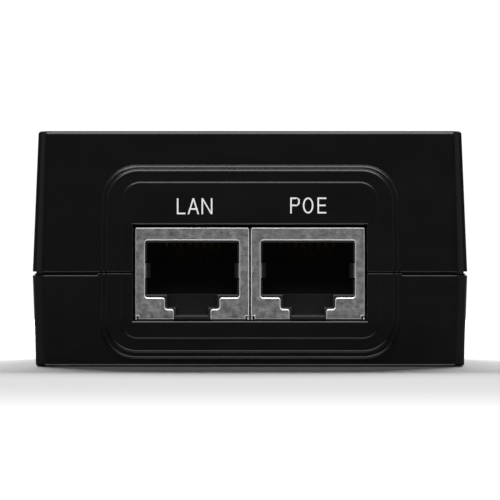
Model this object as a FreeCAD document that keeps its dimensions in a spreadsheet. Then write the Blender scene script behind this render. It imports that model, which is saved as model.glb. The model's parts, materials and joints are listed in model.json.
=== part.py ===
import FreeCAD, Part
import math
import os

import Sketcher

# Power-over-Ethernet injector: a two-part plastic case on four rubber feet, with two shielded
# network sockets in the front face (-Y), a mains inlet in the rear face (+Y) and an off-line
# power supply on one circuit board inside. Millimetres, +Z up, origin on the resting plane
# under the middle of the case.

Vector = FreeCAD.Vector
Rotation = FreeCAD.Rotation

DIMENSIONS = {
    # case
    "case_width": 57.35,
    "overall_length": 100.0,
    "case_top": 31.1,
    "foot_proud": 0.1,
    "parting_height": 12.3,
    "wall": 2.0,
    "upper_draft": 2.4,
    "lower_draft": 2.0,
    "end_draft": 0.6,
    "plan_radius": 2.0,
    "top_round": 0.45,
    "bottom_round": 0.3,
    "groove_depth": 0.5,
    "groove_height": 0.25,
    "parting_chamfer": 0.3,
    "lip_width": 0.8,
    "lip_height": 1.2,
    "lip_gap": 0.1,
    # raised front panel: three nested steps, each on top of the one before
    "frame_rise": 0.45,
    "frame_low": 1.12,
    "frame_high": 26.56,
    "frame_width_low": 39.6,
    "frame_width_high": 39.1,
    "frame_radius": 4.75,
    "platform_rise": 0.45,
    "platform_low": 1.93,
    "platform_high": 26.06,
    "platform_width_low": 38.3,
    "platform_width_high": 37.8,
    "platform_radius": 4.25,
    "step_crest_round": 0.32,
    "panel_rise": 0.27,
    "panel_low": 3.75,
    "panel_high": 24.35,
    "panel_width_low": 34.4,
    "panel_width_high": 33.6,
    "panel_radius": 2.4,
    "print_thickness": 0.03,
    # circuit board
    "board_top": 6.2,
    "board_thickness": 1.6,
    "board_width": 52.0,
    "board_length": 93.6,
    "board_front": -46.3,
    # network sockets
    "jack_pitch": 15.24,
    "jack_width": 15.0,
    "jack_height": 12.15,
    "jack_length": 17.5,
    "jack_base": 6.24,
    "jack_setback": 0.55,
    "sheet": 0.25,
    "shield_window_width": 12.4,
    "shield_window_top": 16.65,
    "shield_ledge": 9.15,
    "shield_key_width": 7.16,
    "shield_key_floor": 7.63,
    "shield_slot_width": 4.8,
    "socket_width": 11.9,
    "socket_top": 16.37,
    "socket_ledge": 9.56,
    "socket_depth": 13.0,
    "key_width": 6.46,
    "key_floor": 7.82,
    "latch_width": 4.14,
    "latch_floor": 6.8,
    "latch_depth": 8.0,
    "finger_low": 11.7,
    "finger_height": 2.0,
    "finger_reach": 5.0,
    "finger_lean": 8.0,
    "edge_round": 0.18,
    "cutout_half_width": 15.4,
    "cutout_low": 6.06,
    "cutout_high": 18.75,
    "cutout_round": 0.22,
    # socket contacts
    "contact_pitch": 1.016,
    "contact_width": 0.45,
    "contact_thickness": 0.2,
    "contact_axis_setback": 3.1,
    "contact_axis_height": 16.85,
    "contact_barrel_radius": 0.4,
    "contact_arm": 8.2,
    "contact_drop_angle": 18.0,
    "contact_roof": 17.35,
    "contact_slot_width": 0.75,
    # mains inlet
    "inlet_width": 27.6,
    "inlet_height": 20.0,
    "inlet_base": 6.6,
    "inlet_length": 23.0,
    "inlet_face": 49.6,
    "inlet_cavity_width": 24.4,
    "inlet_cavity_height": 16.4,
    "inlet_cavity_depth": 17.0,
    "inlet_corner": 4.3,
    "pin_wide": 2.0,
    "pin_tall": 4.0,
    "pin_side": 7.0,
    "pin_offset": 2.0,
    "pin_recess": 2.0,
    # fasteners and feet
    "boss_side": 21.5,
    "boss_front": -40.0,
    "boss_rear": 41.0,
    "boss_radius": 4.0,
    "post_radius": 3.3,
    "post_bore_radius": 1.3,
    "screw_radius": 1.25,
    "screw_length": 13.0,
    "screw_head_radius": 2.7,
    "screw_head_height": 1.6,
    "foot_radius": 4.5,
    "foot_thickness": 1.2,
    "label_width": 34.0,
    "label_length": 58.0,
    "label_recess": 0.15,
    # status light
    "light_x": -6.5,
    "light_y": -27.8,
    "light_radius": 1.4,
    # power supply
    "bulk_radius": 8.0,
    "bulk_height": 21.0,
    "output_can_radius": 5.0,
    "output_can_height": 17.0,
    "core_width": 24.0,
    "core_length": 21.0,
    "core_height": 6.4,
    "core_base": 11.1,
    "core_leg": 6.6,
    "core_window_width": 5.1,
    "core_window_length": 14.0,
    "choke_outer": 8.0,
    "choke_inner": 4.5,
    "choke_depth": 7.0,
    "sink_thickness": 1.2,
    "sink_length": 16.0,
    "sink_height": 19.5,
}


class Size:
    """A dimension that carries its value and the spreadsheet formula it comes from."""

    def __init__(self, value, formula):
        self.value = value
        self.formula = formula

    def __add__(self, other):
        other = as_size(other)
        return Size(self.value + other.value, f"({self.formula} + {other.formula})")

    def __sub__(self, other):
        other = as_size(other)
        return Size(self.value - other.value, f"({self.formula} - {other.formula})")

    def __mul__(self, factor):
        factor = as_size(factor)
        return Size(self.value * factor.value, f"({self.formula} * {factor.formula})")

    def __truediv__(self, divisor):
        divisor = as_size(divisor)
        return Size(self.value / divisor.value, f"({self.formula} / {divisor.formula})")

    def __radd__(self, other):
        return as_size(other) + self

    def __rsub__(self, other):
        return as_size(other) - self

    def __rmul__(self, factor):
        return as_size(factor) * self

    def __neg__(self):
        return Size(-self.value, f"(-{self.formula})")


def as_size(item):
    """A Size made from a plain number, or the Size itself."""
    if isinstance(item, Size):
        return item
    return Size(float(item), f"({float(item)})")


doc = FreeCAD.newDocument("PoeInjector")


class Dimensions:
    """The driving dimensions, written to a spreadsheet and read back by name."""

    def __init__(self, values):
        cells = doc.addObject("Spreadsheet::Sheet", "Sizes")
        for row, (name, value) in enumerate(values.items(), start=1):
            cells.set(f"A{row}", name)
            cells.set(f"B{row}", str(value))
            cells.setAlias(f"B{row}", name)
            setattr(self, name, Size(value, f"Sizes.{name}"))
        doc.recompute()


D = Dimensions(DIMENSIONS)
nodes = []

# ---------------------------------------------------------------- modelling helpers


def bind(item, path, size):
    """Tie one property of a document object to its spreadsheet formula."""
    item.setExpression(path, as_size(size).formula)


def place(item, x, y, z):
    """Tie an object's position to spreadsheet formulas."""
    bind(item, "Placement.Base.x", x)
    bind(item, "Placement.Base.y", y)
    bind(item, "Placement.Base.z", z)


def block(name, middle_x, middle_y, low_z, size_x, size_y, size_z):
    """A box centred in X and Y that stands on low_z."""
    item = doc.addObject("Part::Box", name)
    bind(item, "Length", size_x)
    bind(item, "Width", size_y)
    bind(item, "Height", size_z)
    place(item, middle_x - as_size(size_x) / 2, middle_y - as_size(size_y) / 2, low_z)
    return item


TURNS = {
    "x": Rotation(Vector(0, 1, 0), 90),
    "y": Rotation(Vector(1, 0, 0), -90),
    "z": Rotation(),
}


def rod(name, x, y, z, radius, length, along="z"):
    """A cylinder that starts at x, y, z and runs towards the plus side of one axis."""
    item = doc.addObject("Part::Cylinder", name)
    bind(item, "Radius", radius)
    bind(item, "Height", length)
    item.Placement = FreeCAD.Placement(Vector(), TURNS[along])
    place(item, x, y, z)
    return item


def fuse(name, parts):
    """One solid from several that touch."""
    item = doc.addObject("Part::MultiFuse", name)
    item.Shapes = parts
    item.Refine = True
    return item


def group(name, parts):
    """Several separate solids under one name."""
    item = doc.addObject("Part::Compound", name)
    item.Links = parts
    return item


def cut(name, base, tools):
    """The base without the volume of the tools."""
    item = doc.addObject("Part::Cut", name)
    item.Base = base
    item.Tool = tools[0] if len(tools) == 1 else group(name + "_tools", tools)
    return item


def common(name, first, second):
    """The volume that two objects share."""
    item = doc.addObject("Part::Common", name)
    item.Base = first
    item.Tool = second
    return item


def soften(name, base, radius, wanted, kind="Part::Fillet"):
    """Round or chamfer the edges of base for which wanted(edge) is true."""
    doc.recompute()
    item = doc.addObject(kind, name)
    item.Base = base
    numbers = [number for number, edge in enumerate(base.Shape.Edges, start=1) if wanted(edge)]
    item.Edges = [(number, radius.value, radius.value) for number in numbers]
    return item


def finish(name, item):
    """Give a finished sub-part its node name."""
    item.Label = name
    nodes.append(item)
    return item


def new_body(name):
    """An empty PartDesign body."""
    return doc.addObject("PartDesign::Body", name)


def sketch_on(body, name, role, offset=0):
    """A sketch on one of the body's own origin planes, moved along that plane's normal."""
    drawing = body.newObject("Sketcher::SketchObject", name)
    plane = next(item for item in body.Origin.OriginFeatures if item.Role == role)
    drawing.AttachmentSupport = (plane, "")
    drawing.MapMode = "FlatFace"
    bind(drawing, "AttachmentOffset.Base.z", offset)
    return drawing


def outline(drawing, corners, guide=False):
    """Draw a closed polygon whose corners are tied to spreadsheet formulas."""
    corners = [(as_size(across), as_size(up)) for across, up in corners]
    first = drawing.GeometryCount
    count = len(corners)
    for index in range(count):
        start, end = corners[index], corners[(index + 1) % count]
        start_point = Vector(start[0].value, start[1].value, 0)
        end_point = Vector(end[0].value, end[1].value, 0)
        drawing.addGeometry(Part.LineSegment(start_point, end_point), guide)
    for index in range(count):
        following = first + (index + 1) % count
        drawing.addConstraint(Sketcher.Constraint("Coincident", first + index, 2, following, 1))
    for index, corner in enumerate(corners):
        for kind, size in zip(("DistanceX", "DistanceY"), corner):
            number = drawing.addConstraint(
                Sketcher.Constraint(kind, -1, 1, first + index, 1, size.value))
            drawing.setExpression(f"Constraints[{number}]", size.formula)


def rounded_outline(drawing, corners, radius):
    """A closed anticlockwise outline with one arc at each corner of a guide polygon."""
    guide = drawing.GeometryCount
    outline(drawing, corners, guide=True)
    points = [Vector(as_size(across).value, as_size(up).value, 0) for across, up in corners]
    count = len(points)
    arcs = []
    for index, point in enumerate(points):
        before = (points[index - 1] - point).normalize()
        after = (points[(index + 1) % count] - point).normalize()
        half_turn = before.getAngle(after) / 2
        inward = (before + after).normalize()
        centre = point + inward * (radius.value / math.sin(half_turn))
        reach = radius.value / math.tan(half_turn)
        start = point + before * reach - centre
        end = point + after * reach - centre
        arcs.append(Part.ArcOfCircle(Part.Circle(centre, Vector(0, 0, 1), radius.value),
                                     math.atan2(start.y, start.x), math.atan2(end.y, end.x)))
    first_arc = drawing.GeometryCount
    for arc in arcs:
        drawing.addGeometry(arc)
    for index in range(count):
        drawing.addGeometry(Part.LineSegment(arcs[index].EndPoint,
                                             arcs[(index + 1) % count].StartPoint))
    for index in range(count):
        arc = first_arc + index
        line = first_arc + count + index
        following = first_arc + (index + 1) % count
        drawing.addConstraint([
            Sketcher.Constraint("Tangent", arc, 2, line, 1),
            Sketcher.Constraint("Tangent", line, 2, following, 1),
            Sketcher.Constraint("PointOnObject", line, 1, guide + index),
            Sketcher.Constraint("PointOnObject", line, 2, guide + index)])
        number = drawing.addConstraint(Sketcher.Constraint("Radius", arc, radius.value))
        drawing.setExpression(f"Constraints[{number}]", radius.formula)


def rectangle(drawing, left, low, right, high):
    """A closed rectangle between two corners."""
    outline(drawing, [(left, low), (right, low), (right, high), (left, high)])


def circle(drawing, across, up, radius):
    """A circle whose centre and radius are tied to spreadsheet formulas."""
    across, up, radius = as_size(across), as_size(up), as_size(radius)
    centre = Vector(across.value, up.value, 0)
    line = drawing.addGeometry(Part.Circle(centre, Vector(0, 0, 1), radius.value))
    for kind, size in (("DistanceX", across), ("DistanceY", up)):
        number = drawing.addConstraint(Sketcher.Constraint(kind, -1, 1, line, 3, size.value))
        drawing.setExpression(f"Constraints[{number}]", size.formula)
    number = drawing.addConstraint(Sketcher.Constraint("Radius", line, radius.value))
    drawing.setExpression(f"Constraints[{number}]", radius.formula)


def extrude(body, name, kind, drawing, length, flip=False, draft=0):
    """A pad or pocket from a sketch, checked to have changed the body's volume."""
    before = body.Shape.Volume if body.Tip else 0.0
    feature = body.newObject(kind, name)
    feature.Profile = drawing
    bind(feature, "Length", length)
    feature.Reversed = flip
    bind(feature, "TaperAngle", draft)
    doc.recompute()
    change = feature.Shape.Volume - before
    if abs(change) < 1e-3 or (change > 0) != (kind == "PartDesign::Pad"):
        raise RuntimeError(f"{name} changed the volume by {change}")
    return feature


def round_edges(body, name, radius, wanted, kind="PartDesign::Fillet"):
    """Round or chamfer edges of the body's tip for which wanted(edge) is true."""
    doc.recompute()
    base = body.Tip
    edges = [f"Edge{number}" for number, edge in enumerate(base.Shape.Edges, start=1)
             if wanted(edge)]
    if not edges:
        raise RuntimeError(f"{name} found no edge")
    feature = body.newObject(kind, name)
    feature.Base = (base, edges)
    bind(feature, "Radius" if kind == "PartDesign::Fillet" else "Size", radius)
    doc.recompute()
    return feature


def runs_along(edge, axis):
    """Whether an edge is straight along one coordinate axis."""
    spans = [edge.BoundBox.XLength, edge.BoundBox.YLength, edge.BoundBox.ZLength]
    return spans[axis] > 1e-4 and sum(spans) - spans[axis] < 1e-4


def lies_at(edge, axis, size):
    """Whether a whole edge lies in the plane at one coordinate."""
    box = edge.BoundBox
    low = (box.XMin, box.YMin, box.ZMin)[axis]
    high = (box.XMax, box.YMax, box.ZMax)[axis]
    return abs(low - size.value) < 1e-4 and abs(high - size.value) < 1e-4


X_AXIS, Y_AXIS, Z_AXIS = 0, 1, 2
SIDES = (-1, 1)

# ---------------------------------------------------------------- derived places

panel_plane = -(D.overall_length / 2 - D.print_thickness)
platform_plane = panel_plane + D.panel_rise
frame_plane = platform_plane + D.platform_rise
case_front = frame_plane + D.frame_rise
case_rear = D.overall_length / 2
half_width = D.case_width / 2
floor_top = D.foot_proud + D.wall
board_low = D.board_top - D.board_thickness
jack_front = panel_plane + D.jack_setback
contact_axis_y = jack_front + D.contact_axis_setback
jack_centres = {"lan": -D.jack_pitch / 2, "poe": D.jack_pitch / 2}
boss_places = [(side * D.boss_side, along)
               for side in SIDES for along in (D.boss_front, D.boss_rear)]
inlet_middle = D.inlet_base + D.inlet_height / 2

# ---------------------------------------------------------------- case


def loft(body, name, kind, first, second):
    """A solid or a hollow that runs straight from one outline to another."""
    feature = body.newObject(kind, name)
    feature.Profile = first
    feature.Sections = [second]
    feature.Ruled = True
    first.Visibility = second.Visibility = False
    doc.recompute()
    return feature


def lean(draft, height):
    """How far a drafted wall moves inwards over a height."""
    value = math.tan(math.radians(draft.value)) * abs(height.value)
    return Size(value, f"(tan({draft.formula} * 1 deg) * abs({height.formula}))")


def case_frustum(body, name, kind, ends, radius=None):
    """Part of the case, or its hollow, between two plans: each a level above the parting line
    with how far the sides and the ends stand in there."""
    plans = []
    for number, (level, side_inset, end_inset) in enumerate(ends):
        plan = sketch_on(body, f"{name}_plan_{number}", "XY_Plane", D.parting_height + level)
        left, right = -half_width + side_inset, half_width - side_inset
        front, rear = case_front + end_inset, case_rear - end_inset
        if radius is None:
            rectangle(plan, left, front, right, rear)
        else:
            rounded_outline(plan, [(left, front), (right, front), (right, rear), (left, rear)],
                            radius - side_inset / 2)
        plans.append(plan)
    loft(body, name, kind, *plans)


def front_outline(drawing, low, high, width_low, width_high, radius):
    """A round-cornered outline on the front face that narrows upwards like the case."""
    rounded_outline(drawing, [(-width_low / 2, low), (width_low / 2, low),
                              (width_high / 2, high), (-width_high / 2, high)], radius)


def make_case_shell():
    """Both halves of the case as one hollow body, before it is divided."""
    body = new_body("case_shell")
    upper, lower = D.case_top - D.parting_height, D.foot_proud - D.parting_height
    flush = (as_size(0), as_size(0), as_size(0))
    case_frustum(body, "upper_case", "PartDesign::AdditiveLoft",
                 [flush, (upper, lean(D.upper_draft, upper), lean(D.end_draft, upper))],
                 D.plan_radius)
    case_frustum(body, "lower_case", "PartDesign::AdditiveLoft",
                 [flush, (lower, lean(D.lower_draft, lower), lean(D.end_draft, lower))],
                 D.plan_radius)
    round_edges(body, "top_edge", D.top_round, lambda edge: lies_at(edge, Z_AXIS, D.case_top))
    round_edges(body, "bottom_edge", D.bottom_round,
                lambda edge: lies_at(edge, Z_AXIS, D.foot_proud))

    steps = (
        ("frame", frame_plane, D.frame_rise, D.frame_low, D.frame_high,
         D.frame_width_low, D.frame_width_high, D.frame_radius),
        ("platform", platform_plane, D.platform_rise, D.platform_low, D.platform_high,
         D.platform_width_low, D.platform_width_high, D.platform_radius),
        ("panel", panel_plane, D.panel_rise, D.panel_low, D.panel_high,
         D.panel_width_low, D.panel_width_high, D.panel_radius))
    for name, plane, rise, low, high, width_low, width_high, radius in steps:
        drawing = sketch_on(body, name + "_face", "XZ_Plane", -plane)
        front_outline(drawing, low, high, width_low, width_high, radius)
        extrude(body, name, "PartDesign::Pad", drawing, rise + 0.5, True)
        crest = D.panel_rise * 0.5 if name == "panel" else D.step_crest_round
        round_edges(body, name + "_crest", crest, lambda edge: lies_at(edge, Y_AXIS, plane))

    for name, height, draft in (("upper_hollow", upper - D.wall, D.upper_draft),
                                ("lower_hollow", lower + D.wall, D.lower_draft)):
        case_frustum(body, name, "PartDesign::SubtractiveLoft",
                     [(as_size(0), D.wall, D.wall),
                      (height, lean(draft, height) + D.wall, lean(D.end_draft, height) + D.wall)])
    return body


def plan_ring(name, inset_outer, inset_inner, low, height):
    """A rectangular ring that follows the case outline between two insets."""
    middle_y = (case_front + case_rear) / 2
    length = case_rear - case_front
    outer = block(name + "_outer", 0, middle_y, low, D.case_width - inset_outer * 2,
                  length - inset_outer * 2, height)
    inner = block(name + "_inner", 0, middle_y, low - 1, D.case_width - inset_inner * 2,
                  length - inset_inner * 2, height + 2)
    return cut(name, outer, [inner])


def jack_cutout(name):
    """The volume of the opening in the front wall that both network sockets share."""
    depth = D.wall * 4
    return block(name, 0, panel_plane + depth / 2 - 1, D.cutout_low, D.cutout_half_width * 2,
                 depth, D.cutout_high - D.cutout_low)


def is_cutout_rim(edge):
    """Whether an edge is on the panel's face around the opening for the sockets."""
    box = edge.BoundBox
    beside = max(abs(box.XMin), abs(box.XMax)) < D.cutout_half_width.value + 1e-3
    tall = box.ZMin > D.cutout_low.value - 1e-3 and box.ZMax < D.cutout_high.value + 1e-3
    return lies_at(edge, Y_AXIS, panel_plane) and beside and tall


def inlet_cutout(name, gap=0.15):
    """The volume of the opening in the rear wall around the mains inlet."""
    depth = D.wall * 4
    return block(name, 0, case_rear - depth / 2 + 1, D.inlet_base - gap,
                 D.inlet_width + gap * 2, depth, D.inlet_height + gap * 2)


def parting_bevel():
    """What is cut from the lower half's outer rim to bevel it, except across the platform."""
    body = new_body("bevel_core")
    bevel = D.parting_chamfer
    case_frustum(body, "bevel_core_loft", "PartDesign::AdditiveLoft",
                 [(as_size(0), bevel, bevel), (-bevel, as_size(0), as_size(0))], D.plan_radius)
    band = block("bevel_band", 0, 0, D.parting_height - bevel, D.case_width * 2,
                 D.overall_length * 2, bevel)
    guard = block("bevel_guard", 0, case_front, D.parting_height - D.wall,
                  D.frame_width_low + D.wall / 4, D.wall * 2, D.wall * 2)
    return cut("parting_bevel", band, [body, guard])


def make_top_housing(shell):
    """The upper half: roof, walls down to the parting line and four screw posts."""
    height = D.case_top - D.parting_height
    region = block("top_region", 0, 0, D.parting_height, D.case_width * 2,
                   D.overall_length * 2, height * 2)
    cover = common("top_cover", shell, region)
    roof = D.case_top - D.wall
    posts = []
    for number, (x, y) in enumerate(boss_places):
        foot = D.board_top + D.lip_gap
        post = rod(f"post_{number}", x, y, foot, D.post_radius, roof - foot + D.wall / 2)
        bore = rod(f"post_bore_{number}", x, y, foot - 1, D.post_bore_radius, D.screw_length)
        posts.append(cut(f"bored_post_{number}", post, [bore]))
    groove = plan_ring("groove", -D.wall, D.groove_depth, D.parting_height, D.groove_height)
    rebate = plan_ring("lip_rebate", D.wall - D.lip_width - D.lip_gap, D.wall * 2,
                       D.parting_height, D.lip_height + D.lip_gap)
    light_hole = rod("light_hole", D.light_x, D.light_y, roof - 1, D.light_radius + 0.05,
                     D.wall + 2)
    trimmed = cut("trimmed_cover", cover, [groove, rebate, jack_cutout("top_jack_cutout"),
                                           inlet_cutout("top_inlet_cutout"), light_hole])
    rimmed = soften("rimmed_cover", trimmed, D.cutout_round, is_cutout_rim)
    finish("top_housing", fuse("top_housing", [rimmed] + posts))


def make_bottom_housing(shell):
    """The lower half: floor, walls up to the parting line, locating lip and screw bosses."""
    region = block("bottom_region", 0, 0, D.foot_proud - 1, D.case_width * 2,
                   D.overall_length * 2, D.parting_height - D.foot_proud + 1)
    tray = common("bottom_tray", shell, region)
    lip = plan_ring("lip", D.wall - D.lip_width, D.wall,
                    D.parting_height - 0.5, D.lip_height + 0.5)
    bosses = [rod(f"boss_{number}", x, y, D.foot_proud + D.wall / 2, D.boss_radius,
                  board_low - D.foot_proud - D.wall / 2)
              for number, (x, y) in enumerate(boss_places)]
    solid = fuse("tray_with_bosses", [tray, lip] + bosses)
    tools = [jack_cutout("bottom_jack_cutout"), inlet_cutout("bottom_inlet_cutout"),
             parting_bevel(),
             block("label_recess", 0, 0, D.foot_proud - 1, D.label_width + 0.6,
                   D.label_length + 0.6, D.label_recess + 1)]
    recess_depth = D.foot_thickness - D.foot_proud
    for number, (x, y) in enumerate(boss_places):
        tools.append(rod(f"foot_recess_{number}", x, y, D.foot_proud - 1,
                         D.foot_radius + 0.1, recess_depth + 1))
        tools.append(rod(f"head_recess_{number}", x, y, D.foot_proud,
                         D.screw_head_radius + 0.2, recess_depth + D.screw_head_height + 0.2))
        tools.append(rod(f"boss_bore_{number}", x, y, D.foot_proud, D.screw_radius + 0.2,
                         board_low))
    trimmed = cut("trimmed_tray", solid, tools)

    finish("bottom_housing", soften("bottom_housing", trimmed, D.cutout_round, is_cutout_rim))


# ---------------------------------------------------------------- network sockets


def socket_profile(drawing, centre, window, top, ledge, key, key_floor, slot, slot_floor):
    """The stepped outline of a network socket: main window, key and latch slot below it."""
    right_side = [(slot / 2, slot_floor), (slot / 2, key_floor), (key / 2, key_floor),
                  (key / 2, ledge), (window / 2, ledge), (window / 2, top)]
    left_side = [(-across, up) for across, up in reversed(right_side)]
    outline(drawing, [(centre + across, up) for across, up in right_side + left_side])


def make_ground_finger(name, window_edge, side):
    """A strip of the shield folded back into the socket, leaning towards its middle."""
    body = new_body(name)
    plan = sketch_on(body, name + "_plan", "XY_Plane", D.finger_low)
    inward = lean(D.finger_lean, D.finger_reach) * side
    root = window_edge + side * 0.6
    sheet = D.sheet * side
    tip = jack_front + D.finger_reach
    corners = [(root, jack_front), (window_edge, jack_front), (window_edge - inward, tip),
               (window_edge - inward + sheet, tip), (window_edge + sheet, jack_front + D.sheet),
               (root, jack_front + D.sheet)]
    outline(plan, corners if side < 0 else list(reversed(corners)))
    extrude(body, name + "_strip", "PartDesign::Pad", plan, D.finger_height)
    round_edges(body, name + "_bend", D.sheet * 1.2,
                lambda edge: runs_along(edge, Z_AXIS) and lies_at(edge, X_AXIS, window_edge))
    return body


def make_jack_shield(port, centre):
    """The folded sheet-metal shield with its stepped window, ground fingers and legs."""
    body = new_body(f"{port}_shield_body")
    face = sketch_on(body, f"{port}_shield_face", "XZ_Plane", -jack_front)
    top = D.jack_base + D.jack_height
    rectangle(face, centre - D.jack_width / 2, D.jack_base, centre + D.jack_width / 2, top)
    extrude(body, f"{port}_shield_box", "PartDesign::Pad", face, D.jack_length, True)

    def is_long_top_edge(edge):
        return runs_along(edge, Y_AXIS) and edge.CenterOfMass.z > top.value - 1e-3

    round_edges(body, f"{port}_shield_bends", D.sheet, is_long_top_edge)
    hollow = sketch_on(body, f"{port}_shield_hollow", "XZ_Plane", -jack_front - D.sheet)
    inner_half = D.jack_width / 2 - D.sheet
    rectangle(hollow, centre - inner_half, D.jack_base - 1, centre + inner_half, top - D.sheet)
    extrude(body, f"{port}_shield_inside", "PartDesign::Pocket", hollow,
            D.jack_length - D.sheet * 2)
    window = sketch_on(body, f"{port}_shield_window", "XZ_Plane", -jack_front + 1)
    socket_profile(window, centre, D.shield_window_width, D.shield_window_top, D.shield_ledge,
                   D.shield_key_width, D.shield_key_floor, D.shield_slot_width,
                   D.jack_base - 1)
    extrude(body, f"{port}_shield_opening", "PartDesign::Pocket", window, D.sheet + 1)

    def is_window_corner(edge):
        on_front = edge.CenterOfMass.y < jack_front.value + D.sheet.value
        centre_distance = abs(edge.CenterOfMass.x - centre.value)
        in_window = centre_distance < D.shield_window_width.value / 2 + 1e-3
        return runs_along(edge, Y_AXIS) and on_front and in_window and (
            edge.CenterOfMass.z > D.jack_base.value + 1e-3)

    round_edges(body, f"{port}_window_corners", D.sheet * 1.4, is_window_corner)
    notches = sketch_on(body, f"{port}_shield_notches", "XZ_Plane", -jack_front + 1)
    notch = 0.45
    for side in SIDES:
        edge_x = centre + side * D.jack_width / 2
        near, far = sorted((edge_x - side * notch, edge_x + side * 1.0),
                           key=lambda size: size.value)
        rectangle(notches, near, D.jack_base - 1, far, D.jack_base + notch)
    extrude(body, f"{port}_notch_cut", "PartDesign::Pocket", notches, D.sheet + 1.2)

    round_edges(body, f"{port}_shield_rims", D.edge_round,
                lambda edge: lies_at(edge, Y_AXIS, jack_front))

    pieces = [body]
    for side, word in zip(SIDES, ("left", "right")):
        pieces.append(make_ground_finger(f"{port}_{word}_finger",
                                         centre + side * (D.shield_window_width / 2), side))
        wall_x = centre + side * (D.jack_width / 2 - D.sheet / 2)
        for row, along in enumerate((0.35, 0.8)):
            pieces.append(block(f"{port}_{word}_leg_{row}", wall_x,
                                jack_front + D.jack_length * along,
                                board_low - 0.8, D.sheet, 1.6, D.jack_base - board_low + 1.3))
    finish(f"{port}_jack_shield", fuse(f"{port}_jack_shield", pieces))


def contact_offsets():
    """The eight contacts' distances from their socket's centre, odd ones in the front row."""
    return [(number, (number - 3.5) * D.contact_pitch) for number in range(8)]


def tail_row(number):
    """How far behind the socket face a contact's solder tail goes through the board."""
    return D.jack_length * (0.8 if number % 2 else 0.93)


def make_jack_housing(port, centre):
    """The moulded socket inside the shield, with its key, latch slot and contact slots."""
    body = new_body(f"{port}_housing_body")
    gap = 0.05
    inset = D.sheet + gap
    front = jack_front + inset
    face = sketch_on(body, f"{port}_housing_face", "XZ_Plane", -front)
    half = D.jack_width / 2 - inset
    top = D.jack_base + D.jack_height - inset
    rectangle(face, centre - half, D.jack_base, centre + half, top)
    extrude(body, f"{port}_housing_block", "PartDesign::Pad", face,
            D.jack_length - inset * 2, True)
    main = sketch_on(body, f"{port}_socket_outline", "XZ_Plane", -front + 1)
    rectangle(main, centre - D.socket_width / 2, D.socket_ledge,
              centre + D.socket_width / 2, D.socket_top)
    extrude(body, f"{port}_socket", "PartDesign::Pocket", main, D.socket_depth + 1)
    keyway = sketch_on(body, f"{port}_keyway_outline", "XZ_Plane", -front + 1)
    outline(keyway, [(centre - D.latch_width / 2, D.latch_floor),
                     (centre + D.latch_width / 2, D.latch_floor),
                     (centre + D.latch_width / 2, D.key_floor),
                     (centre + D.key_width / 2, D.key_floor),
                     (centre + D.key_width / 2, D.socket_ledge + 1),
                     (centre - D.key_width / 2, D.socket_ledge + 1),
                     (centre - D.key_width / 2, D.key_floor),
                     (centre - D.latch_width / 2, D.key_floor)])
    extrude(body, f"{port}_keyway", "PartDesign::Pocket", keyway, D.latch_depth + 1)

    def is_mouth_edge(edge):
        inside = abs(edge.CenterOfMass.x - centre.value) < D.socket_width.value / 2 + 1e-3
        return lies_at(edge, Y_AXIS, front) and inside and (
            D.latch_floor.value - 1e-3 < edge.CenterOfMass.z < D.socket_top.value + 1e-3)

    round_edges(body, f"{port}_mouth_round", D.edge_round, is_mouth_edge)

    tools = []
    roof_front = contact_axis_y - D.contact_barrel_radius - 0.3
    channel_top = D.contact_roof + D.contact_thickness + 0.1
    for number, offset in contact_offsets():
        x = centre + offset
        rear = jack_front + tail_row(number) + D.contact_thickness
        depth = rear - roof_front
        tools.append(block(f"{port}_roof_slot_{number}", x, roof_front + depth / 2,
                           D.socket_top - 0.5, D.contact_slot_width, depth,
                           channel_top - D.socket_top + 0.5))
        tools.append(block(f"{port}_tail_slot_{number}", x, rear - D.contact_thickness / 2,
                           D.jack_base - 1, D.contact_width + 0.1, D.contact_thickness + 0.1,
                           channel_top - D.jack_base + 1))
    for side, word in zip(SIDES, ("left", "right")):
        tools.append(block(f"{port}_{word}_finger_slot",
                           centre + side * (D.shield_window_width / 2),
                           front + D.finger_reach / 2 - 0.1, D.finger_low - 0.2, 0.8,
                           D.finger_reach + 0.2, D.finger_height + 0.4))
    finish(f"{port}_jack_housing", cut(f"{port}_jack_housing", body, tools))


def make_contact_tails(port, centre):
    """Eight fixed contact wires: along the socket's roof and down through the board."""
    wires = []
    for number, offset in contact_offsets():
        x = centre + offset
        rear = jack_front + tail_row(number) + D.contact_thickness
        roof = block(f"{port}_roof_wire_{number}", x, (contact_axis_y + rear) / 2,
                     D.contact_roof, D.contact_width, rear - contact_axis_y,
                     D.contact_thickness)
        tail = block(f"{port}_tail_wire_{number}", x, rear - D.contact_thickness / 2,
                     board_low - 1, D.contact_width, D.contact_thickness,
                     D.contact_roof + D.contact_thickness - board_low + 1)
        wires.append(fuse(f"{port}_fixed_wire_{number}", [roof, tail]))
    finish(f"{port}_contact_tails", group(f"{port}_contact_tails", wires))


def make_contact_springs(port, centre):
    """Eight sprung contact arms that turn about the fold at the front of the roof."""
    arms = []
    for number, offset in contact_offsets():
        x = centre + offset
        barrel = rod(f"{port}_fold_{number}", x - D.contact_width / 2, contact_axis_y,
                     D.contact_axis_height, D.contact_barrel_radius, D.contact_width, "x")
        arm = doc.addObject("Part::Box", f"{port}_arm_{number}")
        bind(arm, "Length", D.contact_width)
        bind(arm, "Width", D.contact_arm)
        bind(arm, "Height", D.contact_thickness)
        arm.Placement = FreeCAD.Placement(
            Vector(), Rotation(Vector(1, 0, 0), -D.contact_drop_angle.value))
        place(arm, x - D.contact_width / 2, contact_axis_y,
              D.contact_axis_height - D.contact_barrel_radius)
        arms.append(fuse(f"{port}_spring_{number}", [barrel, arm]))
    finish(f"{port}_contact_springs", group(f"{port}_contact_springs", arms))


# ---------------------------------------------------------------- mains inlet


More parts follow.
